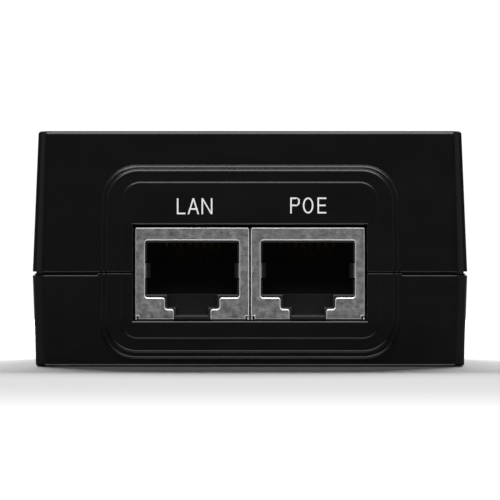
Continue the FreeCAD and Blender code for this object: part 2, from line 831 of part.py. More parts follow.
def make_mains_inlet():
    """The three-pin appliance inlet: moulded shroud with two cut corners, and its pins."""
    body = new_body("inlet_body")
    face = sketch_on(body, "inlet_face", "XZ_Plane", -(D.inlet_face - D.inlet_length))
    rectangle(face, -D.inlet_width / 2, D.inlet_base, D.inlet_width / 2,
              D.inlet_base + D.inlet_height)
    extrude(body, "inlet_block", "PartDesign::Pad", face, D.inlet_length, True)
    round_edges(body, "inlet_rounding", D.sheet * 4, lambda edge: runs_along(edge, Y_AXIS))
    half_w = D.inlet_cavity_width / 2
    half_h = D.inlet_cavity_height / 2
    mouth = sketch_on(body, "inlet_mouth", "XZ_Plane",
                      -(D.inlet_face - D.inlet_cavity_depth))
    outline(mouth, [(-half_w, inlet_middle - half_h), (half_w, inlet_middle - half_h),
                    (half_w, inlet_middle + half_h - D.inlet_corner),
                    (half_w - D.inlet_corner, inlet_middle + half_h),
                    (-half_w + D.inlet_corner, inlet_middle + half_h),
                    (-half_w, inlet_middle + half_h - D.inlet_corner)])
    extrude(body, "inlet_cavity", "PartDesign::Pocket", mouth, D.inlet_cavity_depth + 1)

    pin_places = [(-D.pin_side, inlet_middle - D.pin_offset),
                  (as_size(0), inlet_middle + D.pin_offset),
                  (D.pin_side, inlet_middle - D.pin_offset)]
    pins, holes = [], []
    rear_of_block = D.inlet_face - D.inlet_length
    tip = D.inlet_face - D.pin_recess
    for number, (x, z) in enumerate(pin_places):
        length = tip - rear_of_block + 1.5
        blade = block(f"pin_blade_{number}", x, tip - length / 2, z - D.pin_tall / 2,
                      D.pin_wide, length, D.pin_tall)
        rounded = soften(f"pin_tip_{number}", blade, D.sheet * 2,
                         lambda edge: lies_at(edge, Y_AXIS, tip))
        tail = block(f"pin_tail_{number}", x, rear_of_block - 1.0, board_low - 1,
                     D.pin_wide / 2, 1.0, z - board_low + 1)
        pins.append(fuse(f"inlet_pin_{number}", [rounded, tail]))
        holes.append(block(f"pin_slot_{number}", x, rear_of_block + D.inlet_length / 2,
                           z - D.pin_tall / 2 - 0.03, D.pin_wide + 0.06, D.inlet_length * 2,
                           D.pin_tall + 0.06))
    finish("mains_inlet_housing", cut("mains_inlet_housing", body, holes))
    finish("mains_inlet_pins", group("mains_inlet_pins", pins))


# ---------------------------------------------------------------- board, screws, feet, light


def make_board():
    """The circuit board with its screw holes and the sockets' and inlet's pin holes."""
    body = new_body("board_body")
    plan = sketch_on(body, "board_plan", "XY_Plane", board_low)
    rectangle(plan, -D.board_width / 2, D.board_front, D.board_width / 2,
              D.board_front + D.board_length)
    extrude(body, "board", "PartDesign::Pad", plan, D.board_thickness)
    holes = sketch_on(body, "board_holes", "XY_Plane", D.board_top)
    for x, y in boss_places:
        circle(holes, x, y, D.screw_radius + 0.45)
    pin_hole = D.contact_width * 0.75
    for centre in jack_centres.values():
        for number, offset in contact_offsets():
            y = jack_front + tail_row(number) + D.contact_thickness / 2
            circle(holes, centre + offset, y, pin_hole)
        for side in SIDES:
            x = centre + side * (D.jack_width / 2 - D.sheet / 2)
            for along in (0.35, 0.8):
                y = jack_front + D.jack_length * along
                rectangle(holes, x - 0.25, y - 1.0, x + 0.25, y + 1.0)
    for x in (-D.pin_side, as_size(0), D.pin_side):
        y = D.inlet_face - D.inlet_length - 1.0
        rectangle(holes, x - 0.7, y - 0.7, x + 0.7, y + 0.7)
    extrude(body, "board_drilling", "PartDesign::Pocket", holes, D.board_thickness)
    finish("main_pcb", body)


def make_insulation_sheet():
    """The thin insulating film between the board's solder side and the case floor."""
    finish("insulation_sheet", block("insulation_sheet", 0, 2.0, floor_top + 0.1,
                                     D.board_width - 4, 64.0, 0.3))


def make_screws_and_feet():
    """Four self-tapping screws up through the floor, each hidden by a round rubber foot."""
    screws, feet = [], []
    head_low = D.foot_thickness + 0.1
    for number, (x, y) in enumerate(boss_places):
        head = rod(f"screw_head_{number}", x, y, head_low, D.screw_head_radius,
                   D.screw_head_height)
        shank = rod(f"screw_shank_{number}", x, y, head_low + D.screw_head_height - 0.1,
                    D.screw_radius, D.screw_length - D.screw_head_height)
        slots = [block(f"screw_slot_{number}_{turn}", x, y, head_low - 0.1, *size, 0.9)
                 for turn, size in enumerate(((2.6, 0.6), (0.6, 2.6)))]
        screws.append(cut(f"screw_{number}", fuse(f"screw_blank_{number}", [head, shank]),
                          slots))
        pad = rod(f"foot_pad_{number}", x, y, 0, D.foot_radius, D.foot_thickness)
        feet.append(soften(f"foot_{number}", pad, D.foot_proud / 2,
                           lambda edge: lies_at(edge, Z_AXIS, as_size(0))))
    finish("housing_screws", group("housing_screws", screws))
    finish("rubber_feet", group("rubber_feet", feet))


def make_status_light():
    """The board-mounted lamp and the clear pipe that carries its light to the roof."""
    lamp = block("status_led", D.light_x, D.light_y, D.board_top, 2.0, 1.25, 0.9)
    finish("status_led", lamp)
    pipe_low = D.board_top + 1.4
    roof = D.case_top - D.wall
    pipe = rod("pipe_stem", D.light_x, D.light_y, pipe_low, D.light_radius,
               D.case_top - pipe_low)
    collar = rod("pipe_collar", D.light_x, D.light_y, roof - 1.05, D.light_radius + 0.8, 1.0)
    finish("light_pipe", fuse("light_pipe", [pipe, collar]))


def make_rating_label():
    """The blank label in its shallow recess on the underside."""
    gap = 0.02
    finish("rating_label", block("rating_label", 0, 0, D.foot_proud + gap, D.label_width,
                                 D.label_length, D.label_recess - gap * 2))


# ---------------------------------------------------------------- port lettering

LETTER_HEIGHT = 2.1
STROKE = 0.2


def slanted(low_x, high_x, low=0.0, high=LETTER_HEIGHT, width=STROKE):
    """A stroke between two heights, cut level at both ends; the x values are its left edge."""
    return [(low_x, low), (low_x + width, low), (high_x + width, high), (high_x, high)]


def bar(left, right, low):
    """A level stroke."""
    return [(left, low), (right, low), (right, low + STROKE), (left, low + STROKE)]


def raised(points, left, low):
    """A closed outline on the panel's face as a thin solid."""
    rise = D.print_thickness.value
    corners = [Vector(left + x, panel_plane.value, low + z) for x, z in points + points[:1]]
    return Part.Face(Part.makePolygon(corners)).extrude(Vector(0, -rise, 0))


def raised_ring(left, low, width, height):
    """An oval letter: one ellipse inside another."""
    rise = D.print_thickness.value
    middle = Vector(left + width / 2, panel_plane.value, low + height / 2)
    rings = []
    for inset in (0.0, STROKE):
        oval = Part.Ellipse(Vector(), height / 2 - inset, width / 2 - inset).toShape()
        oval.Placement = FreeCAD.Placement(
            middle, Rotation(Vector(0, 0, 1), Vector(1, 0, 0), Vector(0, -1, 0), "ZXY"))
        rings.append(Part.Face(Part.Wire(oval)))
    return rings[0].cut(rings[1]).extrude(Vector(0, -rise, 0))


def letter(kind, width):
    """The strokes of one letter as outlines."""
    middle = LETTER_HEIGHT * 0.46
    top = LETTER_HEIGHT - STROKE
    right = width - STROKE
    apex = (width - STROKE) / 2
    upright = slanted(0.0, 0.0)
    return {
        "L": [upright, bar(0.0, width, 0.0)],
        "A": [slanted(0.0, apex), slanted(right, apex),
              bar(STROKE, width - STROKE, LETTER_HEIGHT * 0.28)],
        "N": [upright, slanted(right, right), slanted(right, 0.0)],
        "E": [upright, bar(0.0, width, 0.0), bar(0.0, width * 0.92, middle),
              bar(0.0, width, top)],
        "P": [upright, bar(0.0, width * 0.62, middle), bar(0.0, width * 0.62, top),
              slanted(right, right, middle + 0.35, top - 0.07),
              slanted(width * 0.5, right, middle, middle + 0.35, STROKE + 0.06),
              slanted(right, width * 0.5, top - 0.07, LETTER_HEIGHT, STROKE + 0.06)],
    }[kind]


def make_port_labels():
    """The generic port names printed on the panel above the two sockets."""
    words = {
        20.11: (("L", -9.62, 1.13), ("A", -8.21, 1.51), ("N", -6.38, 1.43)),
        20.21: (("P", 5.30, 1.24), ("O", 6.96, 1.38), ("E", 8.88, 1.16)),
    }
    letters = []
    for low, word in words.items():
        for kind, left, width in word:
            if kind == "O":
                letters.append(raised_ring(left, low, width, LETTER_HEIGHT))
                continue
            strokes = [raised(points, left, low) for points in letter(kind, width)]
            letters.append(strokes[0].fuse(strokes[1:]).removeSplitter())
    item = doc.addObject("Part::Feature", "port_labels")
    item.Shape = Part.makeCompound(letters)
    finish("port_labels", item)


# ---------------------------------------------------------------- power supply


def on_board(name, x, y, size_x, size_y, size_z, lift=0.1):
    """A box-shaped component standing on the board."""
    return finish(name, block(name, x, y, D.board_top + lift, size_x, size_y, size_z))


def disc_component(name, x, y, radius, thickness, along):
    """A radial disc component standing on edge, on two short leads."""
    shift = as_size(thickness) / 2
    middle = D.board_top + 1.2 + radius
    start = (x - shift, y, middle) if along == "x" else (x, y - shift, middle)
    disc = rod(name + "_disc", *start, radius, thickness, along)
    rounded = soften(name + "_body", disc, as_size(thickness) * 0.3,
                     lambda edge: edge.BoundBox.ZLength > 1)
    leads = []
    for side in SIDES:
        offset = side * 2.5
        lead_x, lead_y = (x, y + offset) if along == "x" else (x + offset, y)
        leads.append(rod(f"{name}_lead_{side + 1}", lead_x, lead_y, D.board_top + 0.1, 0.3, 3.5))
    finish(name, fuse(name, [rounded] + leads))


def can_component(name, x, y, radius, height):
    """An electrolytic capacitor can with rolled edge and vent cross on top."""
    can = rod(name + "_can", x, y, D.board_top + 0.1, radius, height)
    rounded = soften(name + "_rounded", can, as_size(0.6), lambda edge: edge.Length > 10)
    vents = [block(f"{name}_vent_{turn}", x, y, D.board_top + height - 0.05, *size, 1.0)
             for turn, size in enumerate(((radius * 1.3, 0.4), (0.4, radius * 1.3)))]
    return cut(name, rounded, vents)


def power_package(name, x, y, side):
    """A flat power semiconductor: moulded block, metal tab and three leads."""
    base = D.board_top + 3.6
    moulding = block(name + "_moulding", x, y, base, 3.4, 10.0, 9.0)
    tab = block(name + "_tab", x + side * 1.2, y, base + 8.9, 1.0, 10.0, 5.0)
    leads = [block(f"{name}_lead_{number}", x, y + (number - 1) * 2.54, D.board_top + 0.1,
                   0.5, 0.8, 3.6) for number in range(3)]
    finish(name, fuse(name, [moulding, tab] + leads))


def make_transformer(x, y):
    """The switching transformer: ferrite core, bobbin with pins, winding and outer tape."""
    base = D.core_base
    window_shift = D.core_leg / 2 + D.core_window_width / 2
    blank = block("core_blank", x, y, base, D.core_width, D.core_length, D.core_height)
    windows = [block(f"core_window_{word}", x + side * window_shift, y, base - 1,
                     D.core_window_width, D.core_window_length, D.core_height + 2)
               for side, word in zip(SIDES, ("left", "right"))]
    finish("transformer_core", cut("transformer_core", blank, windows))

    gap = 0.1
    tube_thickness = 0.6
    tube_x = D.core_leg + gap * 2
    tube_z = D.core_height + gap * 2
    length = D.core_window_length - gap * 2
    middle_z = base + D.core_height / 2
    flange_x = D.core_leg + D.core_window_width * 2 - gap * 2
    flange_z = D.core_height + 9.0
    tube = block("bobbin_tube", x, y, middle_z - tube_z / 2 - tube_thickness,
                 tube_x + tube_thickness * 2, length, tube_z + tube_thickness * 2)
    flanges = [block(f"bobbin_flange_{word}", x, y + side * (length / 2 - 0.5),
                     middle_z - flange_z / 2, flange_x, 1.0, flange_z)
               for side, word in zip(SIDES, ("front", "rear"))]
    rails = [block(f"bobbin_rail_{word}", x, y + side * (length / 2 + 1.4),
                   D.board_top + 0.3, D.core_width - 2, 3.6, base - D.board_top - 0.6)
             for side, word in zip(SIDES, ("front", "rear"))]
    passage = block("bobbin_passage", x, y, middle_z - tube_z / 2, tube_x, length * 2, tube_z)
    finish("transformer_bobbin", cut("transformer_bobbin",
                                     fuse("bobbin_blank", [tube] + flanges + rails),
                                     [passage]))

    winding_length = length - 2.4
    bore_x = tube_x + tube_thickness * 2 + gap
    bore_z = tube_z + tube_thickness * 2 + gap
    outer_x = flange_x - 2.0
    outer_z = flange_z - 2.6
    tape = 0.5
    for name, size_x, size_z, hole_x, hole_z, span in (
            ("transformer_winding", outer_x, outer_z, bore_x, bore_z, winding_length),
            ("transformer_tape", outer_x + tape * 2, outer_z + tape * 2, outer_x + gap,
             outer_z + gap, winding_length - 0.4)):
        outer = block(name + "_outer", x, y, middle_z - size_z / 2, size_x, span, size_z)
        rounded = soften(name + "_rounded", outer, as_size(1.5),
                         lambda edge: runs_along(edge, Y_AXIS))
        hole = block(name + "_hole", x, y, middle_z - hole_z / 2, hole_x, span + 2, hole_z)
        finish(name, cut(name, rounded, [hole]))


def ring(name, x, y, z, outer, inner, depth, along):
    """A washer-shaped solid."""
    outside = rod(name + "_outside", x, y, z, outer, depth, along)
    inside = rod(name + "_inside", x, y, z, inner, depth, along)
    return cut(name, outside, [inside])


def make_common_mode_choke(x, y):
    """An upright ferrite ring with two wound arcs, on an insulating base."""
    middle_z = D.board_top + 2.2 + D.choke_outer + 1.2
    start_y = y - D.choke_depth / 2
    finish("choke_core", ring("choke_core", x, start_y, middle_z, D.choke_outer,
                              D.choke_inner, D.choke_depth, "y"))
    wire = 1.1
    gap = 0.08
    arcs = []
    for side, word in zip(SIDES, ("left", "right")):
        sleeve = ring(f"choke_sleeve_{word}", x, start_y - wire, middle_z,
                      D.choke_outer + wire, D.choke_inner - wire, D.choke_depth + wire * 2, "y")
        room = ring(f"choke_room_{word}", x, start_y - gap, middle_z, D.choke_outer + gap,
                    D.choke_inner - gap, D.choke_depth + gap * 2, "y")
        reach = D.choke_outer + wire + 1
        half = block(f"choke_half_{word}", x + side * (reach / 2 + 1.2), y, middle_z - reach,
                     reach, D.choke_depth * 2, reach * 2)
        arcs.append(common(f"choke_arc_{word}", cut(f"choke_wrap_{word}", sleeve, [room]), half))
    finish("choke_windings", group("choke_windings", arcs))
    finish("choke_base", block("choke_base", x, y, D.board_top + 0.1, D.choke_outer * 2,
                               D.choke_depth + 2, 1.9))


def make_output_choke(x, y):
    """The flat output inductor: a powder-iron ring inside its winding."""
    outer, inner, depth = 5.2, 2.9, 4.6
    low = D.board_top + 1.2
    finish("output_choke_core", ring("output_choke_core", x, y, low, as_size(outer),
                                     as_size(inner), as_size(depth), "z"))
    wire = 0.8
    gap = 0.08
    sleeve = ring("output_choke_sleeve", x, y, low - wire, as_size(outer + wire),
                  as_size(inner - wire), as_size(depth + wire * 2), "z")
    room = ring("output_choke_room", x, y, low - gap, as_size(outer + gap),
                as_size(inner - gap), as_size(depth + gap * 2), "z")
    gate = block("output_choke_gate", x, y - outer, low - wire - 1, 2.4, outer, depth + 4)
    finish("output_choke_winding", cut("output_choke_winding", sleeve, [room, gate]))


def make_heatsink(name, x, y, side):
    """An upright aluminium plate with a folded top flange."""
    plate = block(name + "_plate", x, y, D.board_top + 0.1, D.sink_thickness, D.sink_length,
                  D.sink_height)
    flange = block(name + "_flange", x - side * 1.8, y,
                   D.board_top + 0.1 + D.sink_height - D.sink_thickness,
                   D.sink_thickness + 3.6, D.sink_length, D.sink_thickness)
    finish(name, fuse(name, [plate, flange]))


def chips(name, places, size_x, size_y, size_z):
    """A group of equal surface-mounted parts on the board's upper side."""
    pieces = [block(f"{name}_{number}", x, y, D.board_top + 0.05, size_x, size_y, size_z)
              for number, (x, y) in enumerate(places)]
    finish(name, group(name, pieces) if len(pieces) > 1 else pieces[0])


def make_power_supply():
    """Everything that stands on the board between the mains inlet and the sockets."""
    on_board("fuse", -21.0, 21.0, 4.2, 8.4, 8.0)
    disc_component("varistor", as_size(-14.5), as_size(20.0), as_size(5.0), 4.4, "x")
    disc_component("inrush_thermistor", as_size(-21.0), as_size(10.5), as_size(4.5), 4.0, "x")
    on_board("x_capacitor", -2.5, 20.5, 14.0, 8.5, 13.5)
    on_board("bridge_rectifier", -11.0, 11.5, 14.0, 3.6, 10.5)
    make_common_mode_choke(as_size(14.0), as_size(18.5))
    finish("bulk_capacitor", can_component("bulk_capacitor", 15.5, 2.0, D.bulk_radius,
                                           D.bulk_height))
    make_transformer(as_size(-6.0), as_size(-4.0))
    side_x = 24.6
    make_heatsink("transistor_heatsink", as_size(-side_x), as_size(0.0), -1)
    power_package("switching_transistor", as_size(-22.15), as_size(0.0), -1)
    make_heatsink("diode_heatsink", as_size(side_x), as_size(-22.0), 1)
    power_package("output_diode", as_size(22.15), as_size(-22.0), 1)
    disc_component("y_capacitor", as_size(12.0), as_size(-11.0), as_size(4.0), 3.6, "y")
    cans = [can_component(f"output_can_{number}", x, -24.0, D.output_can_radius,
                          D.output_can_height) for number, x in enumerate((1.8, 13.0))]
    finish("output_capacitors", group("output_capacitors", cans))
    make_output_choke(as_size(-17.0), as_size(-23.0))
    on_board("data_magnetics", -7.4, -20.5, 7.0, 7.4, 5.2)
    on_board("optocoupler", 6.8, -16.6, 6.4, 4.4, 3.4)
    on_board("control_ic", -21.0, -13.0, 5.0, 4.0, 1.5)
    chips("surge_protectors", [(side * 21.5, -33.8) for side in SIDES], 4.6, 3.6, 2.3)
    chips("chip_resistors", [(-3.0 + 3.0 * number, -30.6) for number in range(7)],
          2.0, 1.2, 0.5)
    chips("chip_capacitors", [(-2.0 + 3.0 * number, 10.0) for number in range(3)],
          2.0, 1.2, 0.9)


# ---------------------------------------------------------------- build, check and write

shell = make_case_shell()
make_top_housing(shell)
make_bottom_housing(shell)
for port, centre in jack_centres.items():
    make_jack_shield(port, centre)
    make_jack_housing(port, centre)
    make_contact_tails(port, centre)
    make_contact_springs(port, centre)
make_mains_inlet()
make_board()
make_insulation_sheet()
make_screws_and_feet()
make_status_light()
make_rating_label()
make_port_labels()
make_power_supply()
doc.recompute()

for item in doc.Objects:
    if "Invalid" in item.State or "Error" in item.State:
        raise RuntimeError(f"{item.Label} did not recompute: {item.State}")
for item in nodes:
    if item.Shape.isNull() or not item.Shape.isValid() or not item.Shape.Solids:
        raise RuntimeError(f"{item.Label} has no valid solid")

os.makedirs("parts", exist_ok=True)
for item in nodes:
    item.Shape.exportStep(f"parts/{item.Label}.step")
    print(item.Label, len(item.Shape.Solids), round(item.Shape.Volume, 2))
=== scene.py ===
import json
import math

import bpy
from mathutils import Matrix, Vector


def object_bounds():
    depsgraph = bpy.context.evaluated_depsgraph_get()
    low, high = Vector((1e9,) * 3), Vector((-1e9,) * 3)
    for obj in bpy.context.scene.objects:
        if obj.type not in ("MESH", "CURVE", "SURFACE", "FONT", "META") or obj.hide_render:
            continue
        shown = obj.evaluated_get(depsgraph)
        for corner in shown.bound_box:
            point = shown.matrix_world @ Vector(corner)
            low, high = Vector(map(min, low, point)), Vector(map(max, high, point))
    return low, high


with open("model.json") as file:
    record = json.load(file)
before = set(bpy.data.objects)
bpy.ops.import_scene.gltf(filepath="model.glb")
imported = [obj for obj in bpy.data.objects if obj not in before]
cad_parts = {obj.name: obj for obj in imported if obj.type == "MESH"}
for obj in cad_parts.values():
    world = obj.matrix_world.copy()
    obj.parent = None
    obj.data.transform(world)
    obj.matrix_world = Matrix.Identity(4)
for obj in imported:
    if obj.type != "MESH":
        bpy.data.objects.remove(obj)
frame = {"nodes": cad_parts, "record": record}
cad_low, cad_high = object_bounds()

# Looks for the Power-over-Ethernet injector: procedural materials for every CAD node, a plain
# white floor, soft panel lights and a long lens level with the middle of the case.

MM = 0.001
NODES = frame["nodes"]

# ---------------------------------------------------------------- materials


class Surface:
    """A node-based material in object coordinates, built up one layer at a time."""

    def __init__(self, name, roughness=0.5, metallic=0.0):
        self.material = bpy.data.materials.new(name)
        self.material.use_nodes = True
        self.tree = self.material.node_tree
        self.shader = self.tree.nodes["Principled BSDF"]
        self.shader.inputs["Roughness"].default_value = roughness
        self.shader.inputs["Metallic"].default_value = metallic
        self.place = self.add("ShaderNodeTexCoord").outputs["Object"]
        self.normal = None

    def add(self, kind, **settings):
        """A new node with some of its properties set."""
        node = self.tree.nodes.new(kind)
        for key, value in settings.items():
            setattr(node, key, value)
        return node

    def join(self, start, end):
        """A link from an output socket to an input socket."""
        self.tree.links.new(start, end)

    def stretched(self, across, along, up):
        """Object coordinates squeezed along each axis, for directional grain."""
        mapping = self.add("ShaderNodeMapping")
        mapping.inputs["Scale"].default_value = (across, along, up)
        self.join(self.place, mapping.inputs["Vector"])
        return mapping.outputs["Vector"]

    def noise(self, size_mm, detail=3.0, rough=0.55, place=None):
        """Cloudy noise whose blotches are about size_mm across, from 0 to 1."""
        node = self.add("ShaderNodeTexNoise")
        node.inputs["Scale"].default_value = 1.0 / (size_mm * MM)
        node.inputs["Detail"].default_value = detail
        node.inputs["Roughness"].default_value = rough
        self.join(place or self.place, node.inputs["Vector"])
        return node.outputs["Fac"]

    def cells(self, size_mm, place=None):
        """Distance to the nearest of scattered points about size_mm apart."""
        node = self.add("ShaderNodeTexVoronoi")
        node.inputs["Scale"].default_value = 1.0 / (size_mm * MM)
        self.join(place or self.place, node.inputs["Vector"])
        return node.outputs["Distance"]

    def remap(self, value, low, high, to_low=0.0, to_high=1.0):
        """A value stretched from one range to another and clamped."""
        node = self.add("ShaderNodeMapRange")
        node.inputs["From Min"].default_value = low
        node.inputs["From Max"].default_value = high
        node.inputs["To Min"].default_value = to_low
        node.inputs["To Max"].default_value = to_high
        self.join(value, node.inputs["Value"])
        return node.outputs["Result"]

    def math(self, operation, first, second):
        """Arithmetic on a socket and a socket or number."""
        node = self.add("ShaderNodeMath", operation=operation)
        self.join(first, node.inputs[0])
        if isinstance(second, float):
            node.inputs[1].default_value = second
        else:
            self.join(second, node.inputs[1])
        return node.outputs["Value"]

    def mix(self, factor, first, second):
        """A colour between two colours or colour sockets."""
        node = self.add("ShaderNodeMix", data_type="RGBA")
        self.join(factor, node.inputs["Factor"])
        for socket, colour in ((node.inputs["A"], first), (node.inputs["B"], second)):
            if isinstance(colour, tuple):
                socket.default_value = (*colour, 1.0)
            else:
                self.join(colour, socket)
        return node.outputs["Result"]

    def colour(self, socket):
        """Use a colour socket as the base colour."""
        self.join(socket, self.shader.inputs["Base Color"])

    def roughness(self, value, low, high):
        """Let a 0 to 1 value move the roughness between two limits."""
        self.join(self.remap(value, 0.25, 0.75, low, high), self.shader.inputs["Roughness"])

    def soft_edges(self, radius_mm):
        """Round the shading of sharp edges by a small radius."""
        bevel = self.add("ShaderNodeBevel", samples=6)
        bevel.inputs["Radius"].default_value = radius_mm * MM
        self.normal = bevel.outputs["Normal"]
        self.join(self.normal, self.shader.inputs["Normal"])

    def relief(self, height, depth_mm, strength=1.0):
        """Add a bump layer to the shading."""
        bump = self.add("ShaderNodeBump")
        bump.inputs["Strength"].default_value = strength
        bump.inputs["Distance"].default_value = depth_mm * MM
        self.join(height, bump.inputs["Height"])
        if self.normal is not None:
            self.join(self.normal, bump.inputs["Normal"])
        self.normal = bump.outputs["Normal"]
        self.join(self.normal, self.shader.inputs["Normal"])

    def edge_wear(self, radius_mm):
        """A 0 to 1 mask that is high on worn outer edges."""
        bevel = self.add("ShaderNodeBevel", samples=4)
        bevel.inputs["Radius"].default_value = radius_mm * MM
        geometry = self.add("ShaderNodeNewGeometry")
        agreement = self.add("ShaderNodeVectorMath", operation="DOT_PRODUCT")
        self.join(bevel.outputs["Normal"], agreement.inputs[0])
        self.join(geometry.outputs["Normal"], agreement.inputs[1])
        return self.remap(agreement.outputs["Value"], 0.99, 0.75)


def moulded(name, dark, light, roughness, grain_mm=0.16, grain_depth_mm=0.006, gloss=0.5,
            wear=None):
    """Moulded plastic: fine spark-eroded grain, faint flow marks and a little handling wear."""
    surface = Surface(name)
    surface.shader.inputs["Specular IOR Level"].default_value = gloss
    blotches = surface.noise(14.0, 4.0)
    flow = surface.noise(5.0, 3.0, place=surface.stretched(0.35, 1.0, 2.4))
    tone = surface.remap(surface.math("ADD", blotches, flow), 0.7, 1.3)
    base = surface.mix(tone, dark, light)
    smudges = surface.noise(7.0, 5.0, 0.65)
    if wear:
        worn_edges_and_rim_roughness = surface.math("MULTIPLY", surface.edge_wear(0.3),
                              surface.remap(surface.noise(1.3, 4.0), 0.5, 0.72))
        base = surface.mix(worn_edges_and_rim_roughness, base, wear)
    surface.colour(base)
    surface.roughness(smudges, roughness - 0.015, roughness + 0.025)
    surface.soft_edges(0.12)
    surface.relief(surface.noise(grain_mm, 2.0), grain_depth_mm, 0.5)
    surface.relief(surface.noise(30.0, 1.0), 0.02, 0.1)
    return surface.material


# How far behind the shield's face its rims lie, which get a painted highlight colour, and what
# is bent inwards, which gets painted shade, in millimetres; then the rims' painted highlight
# colour and their roughness.
RIM_DEPTHS = (0.004, 0.014)
PAINTED_SHADE_DEPTHS = (0.45, 1.3)
RIM_HIGHLIGHT_COLOUR = (0.93, 0.93, 0.94)
RIM_HIGHLIGHT_ROUGHNESS = 0.58


def tinned_sheet(name, dark, light, roughness, face_y):
    """Thin tin-plated sheet: rolled grain, spangled plating, specks and fine scratches. The
    rounded rims, just behind the face at face_y, get a painted highlight: a near-white colour
    with a rougher shine. What is bent further in gets painted shade: it is darkened to half the
    dark tone."""
    surface = Surface(name, metallic=1.0)
    spangle = surface.noise(0.4, 4.0, 0.75)
    rolled = surface.noise(0.25, 3.0, place=surface.stretched(0.25, 1.0, 1.6))
    cloudy = surface.noise(3.5, 3.0)
    tone = surface.math("ADD", surface.math("MULTIPLY", spangle, 0.6),
                        surface.math("MULTIPLY", rolled, 0.4))
    base = surface.mix(surface.remap(tone, 0.33, 0.67), dark, light)
    dull = tuple(channel * 0.75 for channel in dark)
    base = surface.mix(surface.remap(cloudy, 0.5, 0.8, 0.0, 0.2), base, dull)
    specks = surface.remap(surface.cells(0.8), 0.1, 0.04)
    base = surface.mix(specks, base, tuple(min(1.0, channel * 1.5) for channel in light))
    split = surface.add("ShaderNodeSeparateXYZ")
    surface.join(surface.place, split.inputs[0])
    rim, painted_shade = (surface.remap(split.outputs["Y"], *(face_y + depth * MM for depth in depths))
                    for depths in (RIM_DEPTHS, PAINTED_SHADE_DEPTHS))
    # Painted highlight: the rims just behind the face are coloured near-white.
    painted_rim_highlight = surface.mix(rim, base, RIM_HIGHLIGHT_COLOUR)
    # Painted shade: what lies further in is darkened to half the dark tone.
    surface.colour(surface.mix(painted_shade, painted_rim_highlight, tuple(channel * 0.5 for channel in dark)))
    satin = surface.remap(surface.noise(0.9, 4.0, 0.6), 0.25, 0.75, roughness - 0.08,
                          roughness + 0.12)
    worn_edges_and_rim_roughness = surface.add("ShaderNodeMapRange")
    surface.join(rim, worn_edges_and_rim_roughness.inputs["Value"])
    surface.join(satin, worn_edges_and_rim_roughness.inputs["To Min"])
    worn_edges_and_rim_roughness.inputs["To Max"].default_value = RIM_HIGHLIGHT_ROUGHNESS
    surface.join(worn_edges_and_rim_roughness.outputs["Result"], surface.shader.inputs["Roughness"])
    surface.soft_edges(0.07)
    surface.relief(rolled, 0.004, 0.5)
    surface.relief(surface.noise(1.6, 3.0), 0.008, 0.5)
    return surface.material


def bright_metal(name, dark, light, roughness):
    """Plain or plated metal with a drawn grain and slight tarnish."""
    surface = Surface(name, metallic=1.0)
    grain = surface.noise(0.12, 3.0, place=surface.stretched(1.0, 0.15, 1.0))
    tarnish = surface.noise(1.8, 4.0, 0.6)
    surface.colour(surface.mix(surface.remap(tarnish, 0.35, 0.7), light, dark))
    surface.roughness(grain, roughness - 0.06, roughness + 0.1)
    surface.soft_edges(0.06)
    surface.relief(grain, 0.003, 0.5)
    return surface.material


def printed_ink(name):
    """Pad-printed ink: nearly flat, with pinholes and a slightly uneven film."""
    surface = Surface(name, roughness=0.55)
    uneven = surface.noise(0.35, 4.0, 0.65)
    pinholes = surface.remap(surface.cells(0.4), 0.09, 0.04)
    base = surface.mix(surface.remap(uneven, 0.3, 0.7), (0.62, 0.63, 0.63), (0.74, 0.75, 0.75))
    surface.colour(surface.mix(pinholes, base, (0.45, 0.45, 0.46)))
    surface.roughness(uneven, 0.5, 0.65)
    surface.relief(uneven, 0.004, 0.6)
    return surface.material


def rubber(name):
    """Matte rubber with a dusty, finely pitted skin."""
    surface = Surface(name, roughness=0.85)
    dust = surface.noise(2.2, 5.0, 0.65)
    surface.colour(surface.mix(surface.remap(dust, 0.4, 0.75), (0.012, 0.012, 0.012),
                               (0.05, 0.048, 0.045)))
    surface.roughness(dust, 0.78, 0.92)
    surface.soft_edges(0.12)
    surface.relief(surface.cells(0.35), 0.02, 0.6)
    return surface.material


def laminate(name):
    """Glass-fibre board under green solder mask, with tracks showing faintly through it."""
    surface = Surface(name, roughness=0.35)
    weave = surface.cells(0.6, place=surface.stretched(1.0, 1.0, 0.2))
    tracks = surface.add("ShaderNodeTexBrick", offset=0.37, squash=0.6)
    tracks.inputs["Scale"].default_value = 260.0
    tracks.inputs["Mortar Size"].default_value = 0.06
    surface.join(surface.place, tracks.inputs["Vector"])
    mask_colour = surface.mix(surface.remap(surface.noise(9.0), 0.3, 0.7), (0.012, 0.085, 0.035),
                              (0.02, 0.12, 0.05))
    over_track = surface.mix(tracks.outputs["Fac"], mask_colour, (0.03, 0.17, 0.06))
    surface.colour(surface.mix(surface.remap(weave, 0.1, 0.7, 0.0, 0.25), over_track,
                               (0.05, 0.13, 0.05)))
    surface.roughness(surface.noise(3.0), 0.28, 0.42)
    surface.relief(tracks.outputs["Fac"], 0.03, 0.6)
    surface.relief(weave, 0.006, 0.4)
    return surface.material


def clear_plastic(name):
    """Clear acrylic with a little haze and moulding ripple."""
    surface = Surface(name, roughness=0.08)
    surface.shader.inputs["Transmission Weight"].default_value = 1.0
    surface.shader.inputs["IOR"].default_value = 1.49
    haze = surface.noise(1.2, 3.0)
    surface.colour(surface.mix(haze, (0.86, 0.9, 0.92), (0.95, 0.97, 0.97)))
    surface.roughness(haze, 0.06, 0.2)
    surface.relief(surface.noise(0.7), 0.01, 0.5)
    return surface.material


